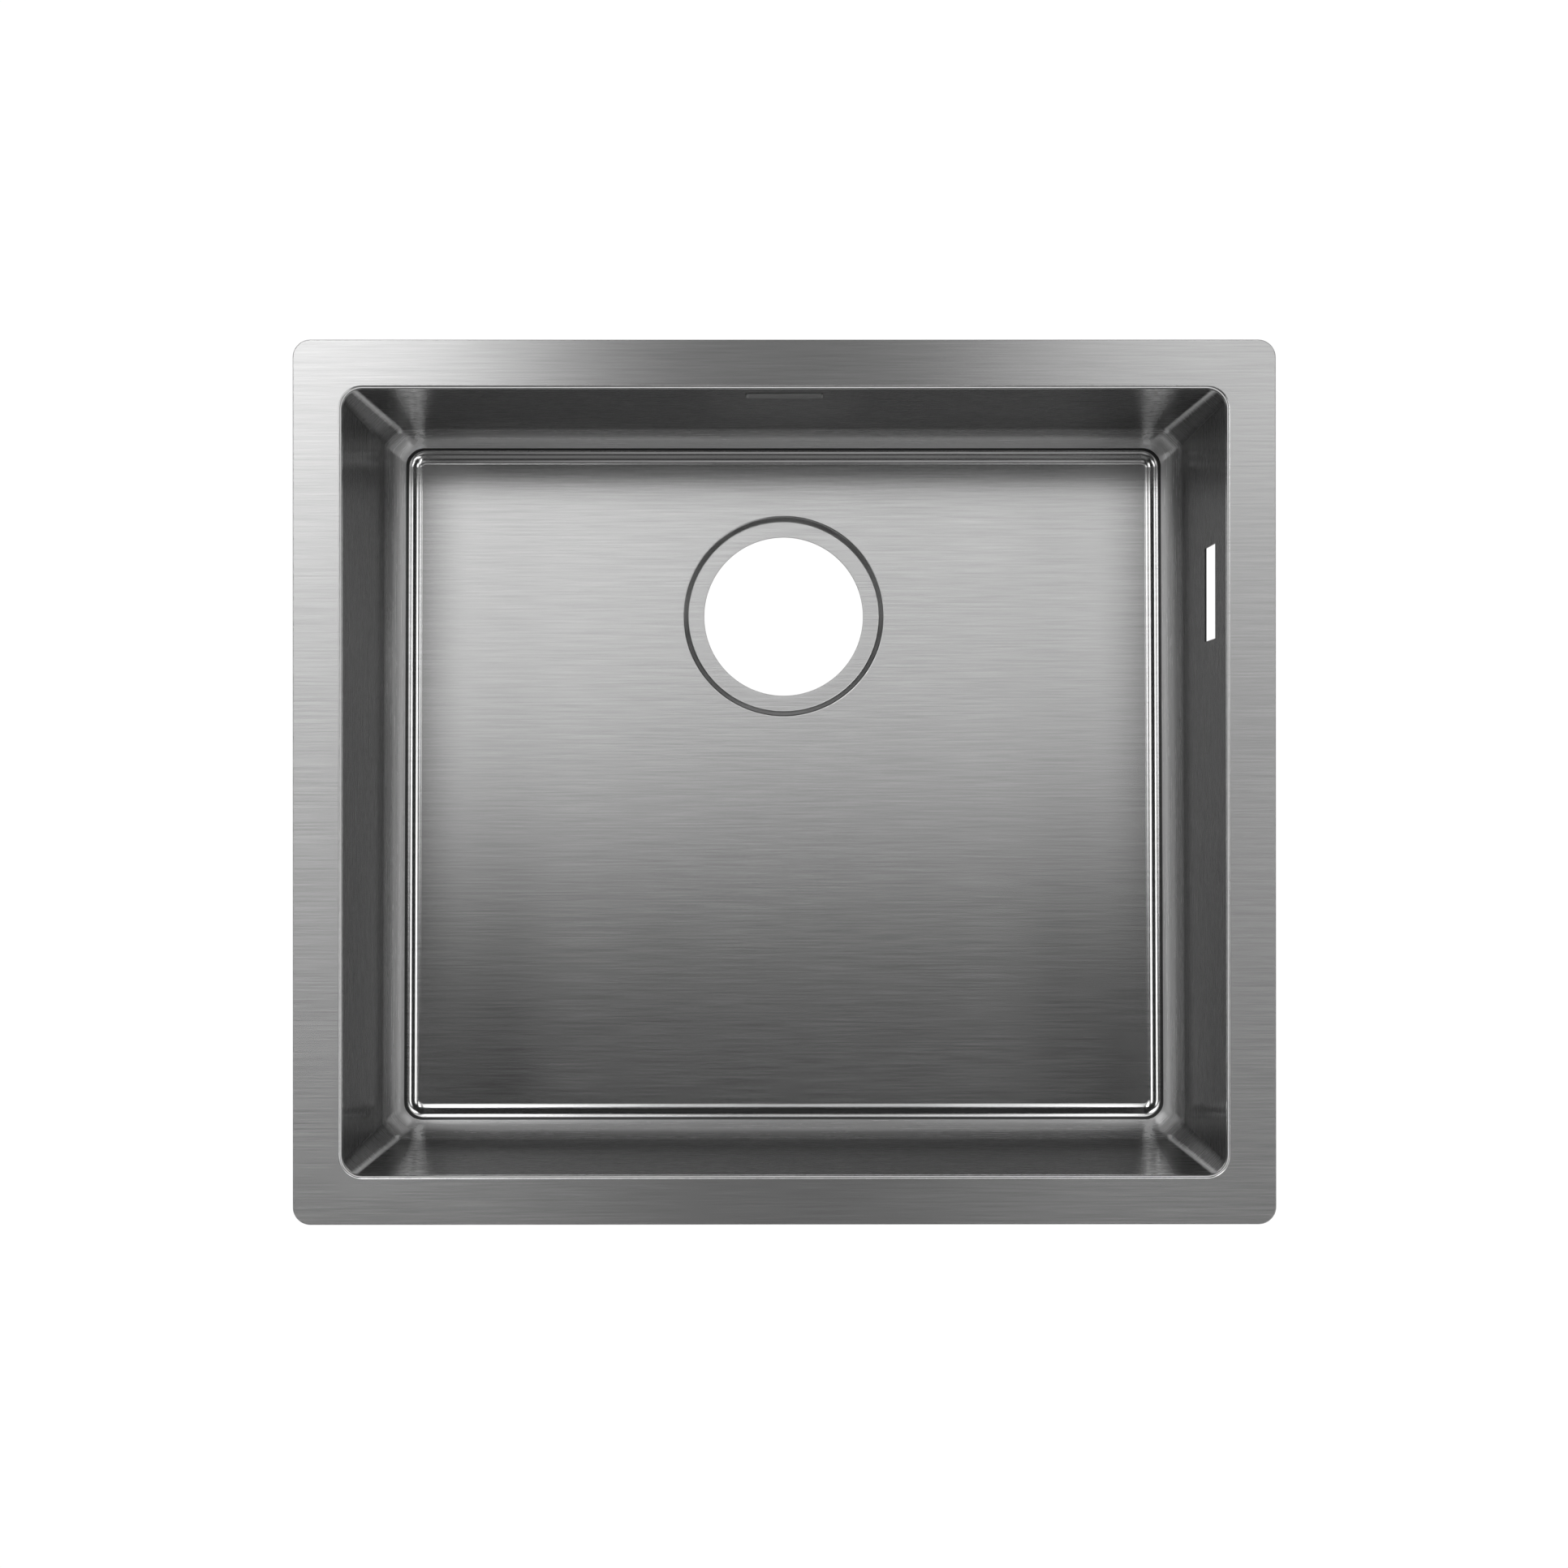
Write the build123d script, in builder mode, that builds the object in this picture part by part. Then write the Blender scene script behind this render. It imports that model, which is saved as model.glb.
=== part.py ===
"""Undermount kitchen sink: one pressed steel bowl, its sound pads and eight swing clamps.

Millimetres. The origin is under the middle of the sink, on the surface that it stands on.
+X is the right-hand side seen from the front, +Y points to the rear wall and +Z is up.
"""

import os
from math import atan2, cos, radians, sin, tan

from build123d import *

# Bowl, measured inside the steel: the depth is at its middle, and the whole bottom falls towards the rear
bowl_length = 450.0
bowl_width = 400.0
bowl_depth = 190.0
floor_fall_angle = 1.8
bowl_corner_radius = 10.0
floor_fillet_radius = 9.5
sheet = 1.0

# Flange that lies under the worktop
flange_reach = 25.0
flange_corner_radius = 9.0
flange_edge_radius = 0.4
rim_bend_radius = 1.8

# Step that runs round the floor just inside the walls
ledge_width = 13.6
step_run = 4.1
step_drop = 2.0
step_corner_radius = 8.0
step_top_radius = 6.8
step_foot_radius = 11.5

# Waste hole in its dished seat
drain_radius = 45.0
drain_rear_distance = 105.5
seat_radius = 56.5
seat_run = 2.5
seat_drop = 2.5
seat_top_radius = 1.5

# Overflow cut-out in the right wall
overflow_width = 50.0
overflow_height = 42.0
overflow_top_drop = 45.0
overflow_rear_distance = 100.0

# Bare badge plate on the rear wall
badge_length = 40.0
badge_height = 18.0
badge_thickness = 0.6
badge_corner_radius = 3.0
badge_rim = 1.2
badge_panel_depth = 0.2
badge_centre_drop = 28.0

# Sound pads, stuck to the outside of the steel
pad_thickness = 3.0
pad_corner_radius = 8.0
wall_pad_top_drop = 50.0
wall_pad_foot_rise = 30.0
wall_pad_end_margin = 65.0
overflow_pad_clearance = 25.0
floor_pad_edge_margin = 14.0
drain_pad_clearance = 16.0
floor_pad_gap = 12.0

# Clamps under the flange
clamp_spacing_length = 260.0
clamp_spacing_width = 220.0
clamp_wall_clearance = 2.0
stud_radius = 2.0
stud_length = 20.0
stud_tip_chamfer = 0.5
stud_base_radius = 3.2
stud_base_thickness = 0.8
tab_length = 36.0
tab_width = 14.0
tab_thickness = 2.5
tab_end_radius = 4.0
tab_hole_clearance = 0.2
tab_slot_width = 5.5
tab_slot_length = 14.0
tab_slot_distance = 24.0
tab_top_gap = 0.3
washer_radius = 4.5
washer_thickness = 0.8
washer_hole_clearance = 0.15
nut_hub_radius = 4.0
nut_hub_height = 3.6
nut_height = 10.5
nut_wing_radius = 10.0
nut_wing_tip_radius = 2.6
nut_wing_thickness = 1.6
nut_thread_clearance = 0.05
stack_gap = 0.1

# Levels and places that follow from the sizes above
drain_y = bowl_width / 2 - drain_rear_distance
overflow_y = bowl_width / 2 - overflow_rear_distance
step_slope = atan2(step_drop, step_run)
seat_slope = atan2(seat_drop, seat_run)
outer_length = bowl_length + 2 * sheet
outer_width = bowl_width + 2 * sheet
floor_length = bowl_length - 2 * (ledge_width + step_run)
floor_width = bowl_width - 2 * (ledge_width + step_run)
floor_pad_x = floor_length / 2 - floor_pad_edge_margin
floor_pad_y = floor_width / 2 - floor_pad_edge_margin
stud_wall_distance = nut_wing_radius + clamp_wall_clearance

# The pads' lowest edge, at the rear, is at Z = 0. The floor plane leans back, and its origin is at its middle
fall = radians(floor_fall_angle)
floor_middle_z = (pad_thickness + sheet) * cos(fall) + floor_pad_y * sin(fall)
floor_plane = Plane(
    origin=(0, 0, floor_middle_z),
    x_dir=(1, 0, 0),
    z_dir=(0, sin(fall), cos(fall)),
)
floor_normal = Axis(floor_plane.origin, floor_plane.z_dir)
flange_top_z = floor_middle_z + bowl_depth
flange_under_z = flange_top_z - sheet

tab_level = stud_base_thickness + tab_top_gap
washer_level = tab_level + tab_thickness + stack_gap
nut_level = washer_level + washer_thickness + stack_gap
level_tolerance = 0.01


def at_level(shapes, level):
    """The edges whose middle lies the given distance above the floor plane, measured square to it."""
    return shapes.filter_by_position(floor_normal, level - level_tolerance, level + level_tolerance)


def pressed_form(growth):
    """The space inside the bowl, grown all round by the given thickness: 0 is the inner skin of the steel."""
    step_growth = growth * tan(step_slope / 2)
    seat_growth = growth * tan(seat_slope / 2)
    step_half_length = bowl_length / 2 - ledge_width + step_growth
    step_half_width = bowl_width / 2 - ledge_width + step_growth
    ledge_level = step_drop - growth
    floor_level = -growth
    with BuildPart() as form:
        with BuildSketch(Plane.XY):
            RectangleRounded(
                bowl_length + 2 * growth,
                bowl_width + 2 * growth,
                bowl_corner_radius + growth,
            )
        extrude(amount=flange_top_z)
        split(bisect_by=floor_plane.offset(ledge_level), keep=Keep.TOP)
        fillet(at_level(form.edges(), ledge_level), floor_fillet_radius + growth)
        with BuildSketch(floor_plane.offset(ledge_level)):
            RectangleRounded(
                2 * step_half_length,
                2 * step_half_width,
                step_corner_radius + step_growth,
            )
        with BuildSketch(floor_plane.offset(floor_level)):
            RectangleRounded(
                floor_length + 2 * step_growth,
                floor_width + 2 * step_growth,
                step_corner_radius - step_run + step_growth,
            )
        loft(ruled=True)
        fillet(at_level(form.edges(), floor_level), step_foot_radius + growth)
        step_edges = at_level(form.edges(), ledge_level)
        step_edges = step_edges.filter_by_position(Axis.X, -step_half_length, step_half_length)
        step_edges = step_edges.filter_by_position(Axis.Y, -step_half_width, step_half_width)
        fillet(step_edges, step_top_radius - growth)
        with BuildSketch(floor_plane.offset(floor_level)):
            with Locations((0, drain_y)):
                Circle(seat_radius + seat_growth)
        with BuildSketch(floor_plane.offset(floor_level - seat_drop)):
            with Locations((0, drain_y)):
                Circle(seat_radius - seat_run + seat_growth)
        loft(ruled=True)
        round_edges = at_level(form.edges(), floor_level).filter_by(GeomType.CIRCLE)
        fillet(round_edges.sort_by(SortBy.RADIUS)[-1], seat_top_radius - growth)
    return form.part


def flat_pad(plane, length, width):
    """A rectangular pad with rounded corners, lying on the given plane and standing out along its normal."""
    with BuildPart() as pad:
        with BuildSketch(plane):
            RectangleRounded(length, width, pad_corner_radius)
        extrude(amount=pad_thickness)
    return pad


def save(piece, name):
    """Labels one finished piece and writes it under its own name."""
    piece.part.label = name
    export_step(piece.part, f"parts/{name}.step")


os.makedirs("parts", exist_ok=True)

# Bowl: flange, walls, floor and drain seat are one piece of steel
with BuildPart() as sink_bowl:
    with BuildSketch(Plane.XY.offset(flange_top_z)):
        RectangleRounded(
            bowl_length + 2 * flange_reach,
            bowl_width + 2 * flange_reach,
            flange_corner_radius,
        )
    extrude(amount=-sheet)
    fillet(sink_bowl.edges().group_by(Axis.Z)[-1], flange_edge_radius)
    add(pressed_form(sheet))
    add(pressed_form(0), mode=Mode.SUBTRACT)
    rim_edges = sink_bowl.edges().filter_by_position(Axis.Z, flange_top_z, flange_top_z)
    rim_edges = rim_edges.filter_by_position(Axis.X, -bowl_length / 2, bowl_length / 2)
    rim_edges = rim_edges.filter_by_position(Axis.Y, -bowl_width / 2, bowl_width / 2)
    fillet(rim_edges, rim_bend_radius)
    bend_edges = sink_bowl.edges().filter_by_position(Axis.Z, flange_under_z, flange_under_z)
    bend_edges = bend_edges.filter_by_position(Axis.X, -outer_length / 2, outer_length / 2)
    bend_edges = bend_edges.filter_by_position(Axis.Y, -outer_width / 2, outer_width / 2)
    fillet(bend_edges, rim_bend_radius - sheet)
    with BuildSketch(floor_plane):
        with Locations((0, drain_y)):
            Circle(drain_radius)
    extrude(amount=-(seat_drop + 2 * sheet), mode=Mode.SUBTRACT)
    overflow_middle_z = flange_top_z - overflow_top_drop - overflow_height / 2
    overflow_plane = Plane(
        origin=(bowl_length / 2 - sheet, overflow_y, overflow_middle_z),
        x_dir=(0, 1, 0),
        z_dir=(1, 0, 0),
    )
    with BuildSketch(overflow_plane):
        Rectangle(overflow_width, overflow_height)
    extrude(amount=3 * sheet, mode=Mode.SUBTRACT)
save(sink_bowl, "sink_bowl")

# Badge plate: a bare panel inside a narrow raised rim
badge_plane = Plane(
    origin=(0, bowl_width / 2, flange_top_z - badge_centre_drop),
    x_dir=(1, 0, 0),
    z_dir=(0, -1, 0),
)
with BuildPart() as badge_plate:
    with BuildSketch(badge_plane):
        RectangleRounded(badge_length, badge_height, badge_corner_radius)
    extrude(amount=badge_thickness)
    with BuildSketch(badge_plane.offset(badge_thickness)):
        RectangleRounded(
            badge_length - 2 * badge_rim,
            badge_height - 2 * badge_rim,
            badge_corner_radius - badge_rim,
        )
    extrude(amount=-badge_panel_depth, mode=Mode.SUBTRACT)
save(badge_plate, "badge_plate")

# Sound pads on the four walls
wall_pad_top_z = flange_top_z - wall_pad_top_drop
wall_pad_foot_z = floor_middle_z + wall_pad_foot_rise
wall_pad_height = wall_pad_top_z - wall_pad_foot_z
wall_pad_z = (wall_pad_top_z + wall_pad_foot_z) / 2
for name, side in (("pad_front", -1), ("pad_rear", 1)):
    wall = Plane(
        origin=(0, side * outer_width / 2, wall_pad_z),
        x_dir=(1, 0, 0),
        z_dir=(0, side, 0),
    )
    save(flat_pad(wall, bowl_length - 2 * wall_pad_end_margin, wall_pad_height), name)

side_pad_front = -(bowl_width / 2 - wall_pad_end_margin)
right_pad_rear = overflow_y - overflow_width / 2 - overflow_pad_clearance
for name, side, rear in (("pad_left", -1, -side_pad_front), ("pad_right", 1, right_pad_rear)):
    wall = Plane(
        origin=(side * outer_length / 2, (side_pad_front + rear) / 2, wall_pad_z),
        x_dir=(0, 1, 0),
        z_dir=(side, 0, 0),
    )
    save(flat_pad(wall, rear - side_pad_front, wall_pad_height), name)

# Sound pads under the floor: one in front of the drain seat and one on each side of it
front_pad_rear = drain_y - seat_radius - drain_pad_clearance
side_pad_inner = seat_radius + drain_pad_clearance
rear_pad_front = front_pad_rear + floor_pad_gap
side_pad_middle = (floor_pad_x + side_pad_inner) / 2
floor_pads = (
    ("pad_floor_front", 0, 2 * floor_pad_x, -floor_pad_y, front_pad_rear),
    ("pad_floor_left", -side_pad_middle, floor_pad_x - side_pad_inner, rear_pad_front, floor_pad_y),
    ("pad_floor_right", side_pad_middle, floor_pad_x - side_pad_inner, rear_pad_front, floor_pad_y),
)
for name, middle, length, front, rear in floor_pads:
    under_floor = Plane(
        origin=floor_plane.from_local_coords((middle, (front + rear) / 2, -sheet)),
        x_dir=(1, 0, 0),
        z_dir=-floor_plane.z_dir,
    )
    save(flat_pad(under_floor, length, rear - front), name)

# Clamp sites: each plane faces down from the flange, and its X points along the parked tab
stud_x = outer_length / 2 + stud_wall_distance
stud_y = outer_width / 2 + stud_wall_distance
clamp_sites = {}
for edge, side in (("front", -1), ("rear", 1)):
    for end, way in (("left", -1), ("right", 1)):
        clamp_sites[f"{edge}_{end}"] = Plane(
            origin=(way * clamp_spacing_length / 2, side * stud_y, flange_under_z),
            x_dir=(way, 0, 0),
            z_dir=(0, 0, -1),
        )
for edge, side in (("left", -1), ("right", 1)):
    for end, way in (("front", -1), ("rear", 1)):
        clamp_sites[f"{edge}_{end}"] = Plane(
            origin=(side * stud_x, way * clamp_spacing_width / 2, flange_under_z),
            x_dir=(0, way, 0),
            z_dir=(0, 0, -1),
        )

# Studs, welded to the flange by a small round base
with BuildPart() as clamp_studs:
    for site in clamp_sites.values():
        with BuildSketch(site):
            Circle(stud_base_radius)
        extrude(amount=stud_base_thickness)
        with BuildSketch(site):
            Circle(stud_radius)
        extrude(amount=stud_length)
    chamfer(clamp_studs.edges().group_by(Axis.Z)[0], stud_tip_chamfer)
save(clamp_studs, "clamp_studs")

# Tabs, washers and wing nuts, one of each on every stud
for place, site in clamp_sites.items():
    with BuildPart() as tab:
        with BuildSketch(site.offset(tab_level)) as tab_outline:
            Circle(tab_width / 2)
            with Locations((tab_length / 2, 0)):
                Rectangle(tab_length, tab_width)
            fillet(tab_outline.vertices().group_by(Axis.X)[-1], tab_end_radius)
            Circle(stud_radius + tab_hole_clearance, mode=Mode.SUBTRACT)
            with Locations((tab_slot_distance, 0)):
                SlotOverall(tab_slot_length, tab_slot_width, mode=Mode.SUBTRACT)
        extrude(amount=tab_thickness)
    save(tab, f"tab_{place}")

    with BuildPart() as washer:
        with BuildSketch(site.offset(washer_level)):
            Circle(washer_radius)
            Circle(stud_radius + washer_hole_clearance, mode=Mode.SUBTRACT)
        extrude(amount=washer_thickness)
    save(washer, f"washer_{place}")

    nut_seat = site.offset(nut_level)
    wing_plane = Plane(origin=nut_seat.origin, x_dir=nut_seat.x_dir, z_dir=nut_seat.y_dir)
    with BuildPart() as wing_nut:
        with BuildSketch(nut_seat):
            Circle(nut_hub_radius)
        extrude(amount=nut_hub_height)
        for way in (-1, 1):
            with BuildSketch(wing_plane):
                tip = (
                    way * (nut_wing_radius - nut_wing_tip_radius),
                    nut_wing_tip_radius - nut_height,
                )
                with Locations(tip):
                    Circle(nut_wing_tip_radius)
                with Locations((way * nut_hub_radius / 2, -nut_hub_height / 2)):
                    Rectangle(nut_hub_radius, nut_hub_height / 2)
                make_hull()
            extrude(amount=nut_wing_thickness / 2, both=True)
        with BuildSketch(nut_seat):
            Circle(stud_radius + nut_thread_clearance)
        extrude(amount=nut_height, mode=Mode.SUBTRACT)
    save(wing_nut, f"wing_nut_{place}")
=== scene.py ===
from math import atan2, cos, pi, radians, sin, tan

import bmesh
import bpy
import numpy as np
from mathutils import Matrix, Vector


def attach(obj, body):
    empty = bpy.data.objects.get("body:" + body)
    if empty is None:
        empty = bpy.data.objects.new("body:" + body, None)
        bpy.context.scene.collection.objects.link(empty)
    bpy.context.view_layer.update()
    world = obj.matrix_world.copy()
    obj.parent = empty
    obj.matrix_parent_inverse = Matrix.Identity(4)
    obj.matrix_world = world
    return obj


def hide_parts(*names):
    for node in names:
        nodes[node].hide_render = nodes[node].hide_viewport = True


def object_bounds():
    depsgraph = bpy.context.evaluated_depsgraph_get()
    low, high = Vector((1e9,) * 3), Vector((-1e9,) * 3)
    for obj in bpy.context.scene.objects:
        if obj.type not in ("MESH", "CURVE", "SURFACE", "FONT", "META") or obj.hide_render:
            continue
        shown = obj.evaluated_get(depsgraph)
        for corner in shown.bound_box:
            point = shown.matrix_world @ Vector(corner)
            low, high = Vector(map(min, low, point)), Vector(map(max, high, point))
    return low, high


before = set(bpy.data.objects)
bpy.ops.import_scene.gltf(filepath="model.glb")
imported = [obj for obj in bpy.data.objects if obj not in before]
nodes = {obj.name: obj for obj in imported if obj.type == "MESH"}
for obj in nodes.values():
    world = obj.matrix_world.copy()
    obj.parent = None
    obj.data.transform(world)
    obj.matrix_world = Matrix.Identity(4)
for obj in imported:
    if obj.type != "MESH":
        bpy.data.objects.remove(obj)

cadLow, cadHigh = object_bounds()
mm = 0.001
flangeTopZ = cadHigh.z / mm


def smooth(t):
    # cubic ease from 0 to 1
    t = np.clip(t, 0.0, 1.0)
    return t * t * (3.0 - 2.0 * t)


def newPiece(name, points, faces, material):
    # mesh from an array of points in millimetres and a list of faces
    mesh = bpy.data.meshes.new(name)
    mesh.from_pydata((np.asarray(points) * mm).tolist(), [], faces)
    mesh.materials.append(material)
    mesh.polygons.foreach_set("use_smooth", np.ones(len(mesh.polygons), dtype=bool))
    mesh.update()
    piece = bpy.data.objects.new(name, mesh)
    bpy.context.scene.collection.objects.link(piece)
    return piece


def gridFaces(rows, columns, closeRows, closeColumns):
    # quads of a grid of rows x columns vertices, wrapped round in either direction
    r = np.arange(rows if closeRows else rows - 1)
    c = np.arange(columns if closeColumns else columns - 1)
    r, c = np.meshgrid(r, c, indexing="ij")
    rNext, cNext = (r + 1) % rows, (c + 1) % columns
    quads = np.stack([r * columns + c, rNext * columns + c, rNext * columns + cNext, r * columns + cNext], axis=-1)
    return quads.reshape(-1, 4)


def addNode(tree, kind, **values):
    node = tree.nodes.new(kind)
    for key, value in values.items():
        if key in node.inputs:
            node.inputs[key].default_value = value
        else:
            setattr(node, key, value)
    return node


def mathIn(tree, operation, a, b=None):
    # one math node; each operand is a number or a socket
    node = addNode(tree, "ShaderNodeMath", operation=operation)
    for slot, value in ((0, a), (1, b)):
        if isinstance(value, float):
            node.inputs[slot].default_value = value
        elif value is not None:
            tree.links.new(value, node.inputs[slot])
    return node.outputs[0]


def rampIn(tree, value, start, full, low=0.0, high=1.0, kind="LINEAR"):
    # ramp from low at start to high at full, held flat beyond both
    ramp = addNode(tree, "ShaderNodeMapRange", interpolation_type=kind)
    for name, number in (("From Min", start), ("From Max", full), ("To Min", low), ("To Max", high)):
        ramp.inputs[name].default_value = number
    tree.links.new(value, ramp.inputs["Value"])
    return ramp.outputs[0]


def easeIn(tree, value, start, full, low=0.0, high=1.0):
    return rampIn(tree, value, start, full, low, high, "SMOOTHSTEP")


def newGroup(name, inputs, outputs):
    # shader node group with a vector input and the named numbers in and out
    group = bpy.data.node_groups.new(name, "ShaderNodeTree")
    face = group.interface
    face.new_socket(name="Vector", in_out="INPUT", socket_type="NodeSocketVector")
    for inputName in inputs:
        face.new_socket(name=inputName, in_out="INPUT", socket_type="NodeSocketFloat")
    for outputName in outputs:
        face.new_socket(name=outputName, in_out="OUTPUT", socket_type="NodeSocketFloat")
    return group, addNode(group, "NodeGroupInput").outputs, addNode(group, "NodeGroupOutput").inputs


# painted light and shade beside each corner, lengths in metres: a painted highlight in a fan that narrows towards the
# foot, and on the two edges of the corner's flat a painted highlight line and a painted shade line
fan = {
    "footZ": 0.012, "topZ": 0.197, "footX": 0.206, "topShift": -0.016, "footHalf": 0.005, "topHalf": 0.014,
    "core": 0.1, "streaks": (160.0, 160.0, 420.0), "patchFrom": 0.3, "patchFull": 0.65, "patchLow": 0.35,
    "lineX": 0.2165, "lineY": 0.1915, "lineShift": 0.0026, "lineHalf": 0.0022,
    "nearX": 0.2232, "nearY": 0.1980, "nearSoft": 0.001, "darkness": 0.55,
}
# painted highlight: the wall's foot gets brighter towards the ledge, which leans with the floor
footLightPaint = {"from": 0.0240, "half": 0.0145, "full": 0.0113, "lean": 0.0314, "slowShare": 0.3, "dull": 0.6}


def makePaintedShadingGroup():
    # painted highlight where |x| is within the fan round its middle line, or on the flat's edge next to the rear or
    # front wall; painted shade on the flat's edge next to a side wall; the painted foot light goes from 0 above the
    # foot's round to 1 on the ledge; the painted low light goes from 0 at the top to 1 at the foot
    group, given, result = newGroup("cornerFinish", (), ("Bright", "Dark", "Rise", "Low"))

    def compute(operation, a, b=None):
        return mathIn(group, operation, a, b)

    split = addNode(group, "ShaderNodeSeparateXYZ")
    group.links.new(given["Vector"], split.inputs[0])
    x, y = compute("ABSOLUTE", split.outputs["X"]), compute("ABSOLUTE", split.outputs["Y"])
    t = rampIn(group, split.outputs["Z"], fan["footZ"], fan["topZ"])
    middle = compute("ADD", compute("MULTIPLY", t, fan["topShift"]), fan["footX"])
    half = compute("ADD", compute("MULTIPLY", t, fan["topHalf"] - fan["footHalf"]), fan["footHalf"])
    away = compute("DIVIDE", compute("ABSOLUTE", compute("SUBTRACT", x, middle)), half)
    stretch = addNode(group, "ShaderNodeVectorMath", operation="MULTIPLY")
    stretch.inputs[1].default_value = fan["streaks"]
    group.links.new(given["Vector"], stretch.inputs[0])
    streaks = addNode(group, "ShaderNodeTexNoise", Scale=1.0, Detail=3.0, Roughness=0.6, Distortion=1.2)
    group.links.new(stretch.outputs[0], streaks.inputs["Vector"])
    patchy = easeIn(group, streaks.outputs[0], fan["patchFrom"], fan["patchFull"], fan["patchLow"], 1.0)
    wide = compute("MULTIPLY", easeIn(group, away, 1.0, fan["core"]), patchy)
    shift = compute("MULTIPLY", t, fan["lineShift"])
    lines = []
    for across, place, beside, near in ((x, "lineX", y, "nearY"), (y, "lineY", x, "nearX")):
        off = compute("ABSOLUTE", compute("SUBTRACT", across, compute("ADD", shift, fan[place])))
        line = easeIn(group, off, fan["lineHalf"], 0.0)
        lines.append(compute("MULTIPLY", line, easeIn(group, beside, fan[near] - fan["nearSoft"], fan[near])))
    level = compute("ADD", split.outputs["Z"], compute("MULTIPLY", split.outputs["Y"], footLightPaint["lean"]))
    slow = easeIn(group, level, footLightPaint["from"], footLightPaint["half"])
    quick = easeIn(group, level, footLightPaint["half"], footLightPaint["full"])
    rise = compute("ADD", compute("MULTIPLY", slow, footLightPaint["slowShare"]),
                   compute("MULTIPLY", quick, 1.0 - footLightPaint["slowShare"]))
    group.links.new(compute("MAXIMUM", wide, lines[0]), result["Bright"])
    group.links.new(compute("MULTIPLY", lines[1], fan["darkness"]), result["Dark"])
    group.links.new(rise, result["Rise"])
    group.links.new(compute("SUBTRACT", 1.0, t), result["Low"])
    return group


def makeGrainGroup():
    # brushed grain about zero: long fine streaks along the first texture coordinate, with a little of a coarser size
    group, given, result = newGroup("brushedGrain", ("Streaks", "Length"), ("Grain",))
    scale = addNode(group, "ShaderNodeCombineXYZ")
    group.links.new(given["Length"], scale.inputs["X"])
    group.links.new(given["Streaks"], scale.inputs["Y"])
    stretched = addNode(group, "ShaderNodeVectorMath", operation="MULTIPLY")
    group.links.new(given["Vector"], stretched.inputs[0])
    group.links.new(scale.outputs[0], stretched.inputs[1])
    fine = addNode(group, "ShaderNodeTexNoise", Scale=1.0, Detail=4.0, Roughness=0.65)
    coarse = addNode(group, "ShaderNodeTexNoise", Scale=0.31, Detail=2.0, Roughness=0.5)
    for noise in (fine, coarse):
        group.links.new(stretched.outputs[0], noise.inputs["Vector"])
    coarseShare = 0.2
    both = mathIn(group, "ADD", fine.outputs[0], mathIn(group, "MULTIPLY", coarse.outputs[0], coarseShare))
    group.links.new(mathIn(group, "SUBTRACT", both, 0.5 + 0.5 * coarseShare), result["Grain"])
    return group


def makeSpeckleGroup():
    # two scales of noise: broad blotches and fine grains, both about zero
    group, given, result = newGroup("speckle", ("Blotches", "Grains"), ("Blotch", "Grain"))
    for source, target, detail in (("Blotches", "Blotch", 3.0), ("Grains", "Grain", 2.0)):
        noise = addNode(group, "ShaderNodeTexNoise", Detail=detail, Roughness=0.6)
        group.links.new(given["Vector"], noise.inputs["Vector"])
        group.links.new(given[source], noise.inputs["Scale"])
        group.links.new(mathIn(group, "SUBTRACT", noise.outputs[0], 0.5), result[target])
    return group


brushedGrain = makeGrainGroup()
cornerFinish = makePaintedShadingGroup()
speckle = makeSpeckleGroup()


def objectPlace(tree):
    return addNode(tree, "ShaderNodeTexCoord").outputs["Object"]


def newMaterial(name, look):
    material = bpy.data.materials.new(name)
    material.use_nodes = True
    shader = material.node_tree.nodes["Principled BSDF"]
    shader.inputs["Metallic"].default_value = look["metal"]
    return material, material.node_tree, shader


def addBump(tree, shader, height, strength, distance):
    bump = addNode(tree, "ShaderNodeBump", Strength=strength, Distance=distance)
    tree.links.new(height, bump.inputs["Height"])
    tree.links.new(bump.outputs[0], shader.inputs["Normal"])


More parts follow.
